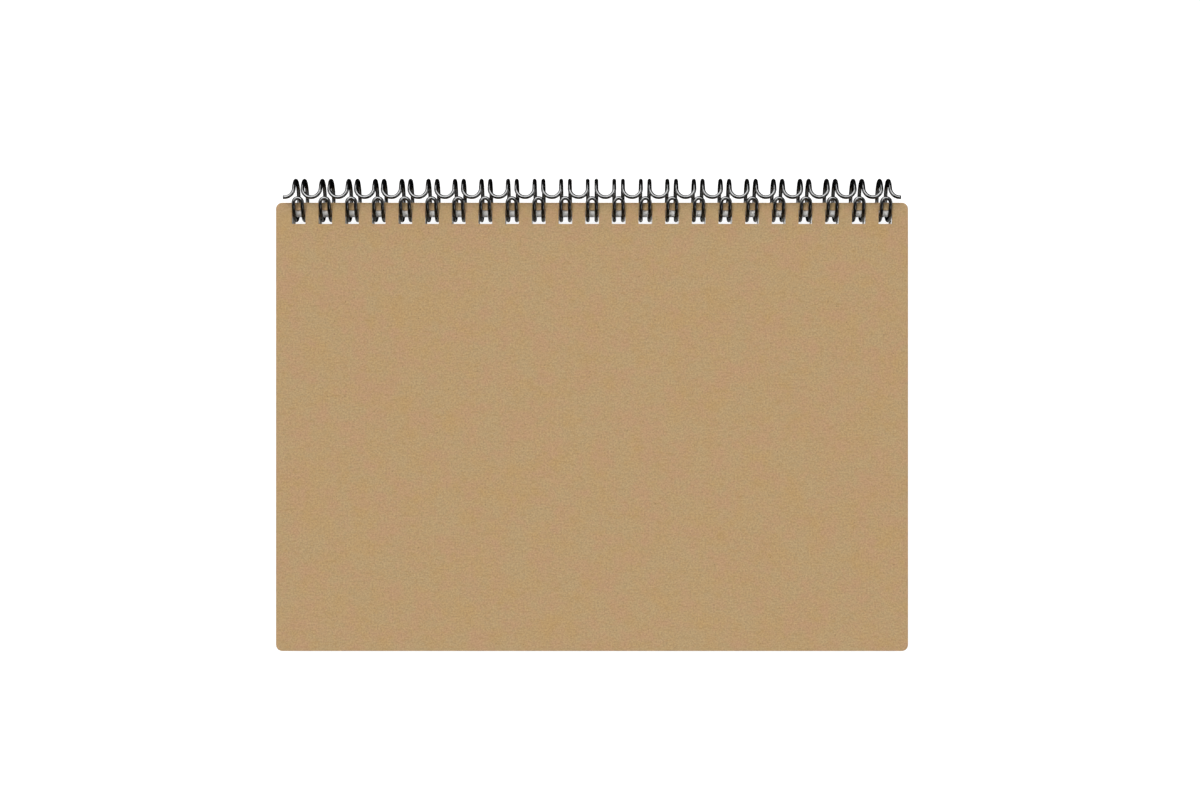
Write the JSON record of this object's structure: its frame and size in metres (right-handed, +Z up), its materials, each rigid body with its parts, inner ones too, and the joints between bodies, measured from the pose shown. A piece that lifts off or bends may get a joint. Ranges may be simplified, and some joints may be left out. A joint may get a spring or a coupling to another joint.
{
  "type": "spiral notebook",
  "caption": "Landscape notebook with plain board covers and punched sheets, bound along the long edge by a twin-loop wire; both covers swing open.",
  "frame": {"origin": "under the middle of the closed notebook, level with the underside of the wire binding", "axes": "+Z up out of the front cover, X along the binding, +Y from the free edge towards the binding"},
  "size_m": [0.301, 0.2255, 0.0208],
  "materials": {
    "kraft_board": "matte natural kraft board with faint fibres and specks",
    "white_paper": "uncoated white paper",
    "black_wire": "gloss black enamelled steel wire"
  },
  "bodies": {
    "back": {"back_cover": "kraft_board"},
    "sheets": {"pages": "white_paper"},
    "front": {"front_cover": "kraft_board"},
    "binding": {"wire_binding": "black_wire"}
  },
  "joints": [
    {"name": "back_cover_opening", "type": "hinge", "parent": "back", "child": "sheets", "pos_m": [0, 0.10235, 0.0104], "axis": [-1, 0, 0], "range_deg": [0, 180]},
    {"name": "front_cover_opening", "type": "hinge", "parent": "sheets", "child": "front", "pos_m": [0, 0.10235, 0.0104], "axis": [-1, 0, 0], "range_deg": [0, 180]},
    {"name": "wire_turning", "type": "hinge", "parent": "sheets", "child": "binding", "pos_m": [0, 0.10235, 0.0104], "axis": [-1, 0, 0], "range_deg": [0, 153]}
  ],
  "couplings": [
    {"joint": "wire_turning", "follows": "front_cover_opening", "ratio": 0.85}
  ]
}
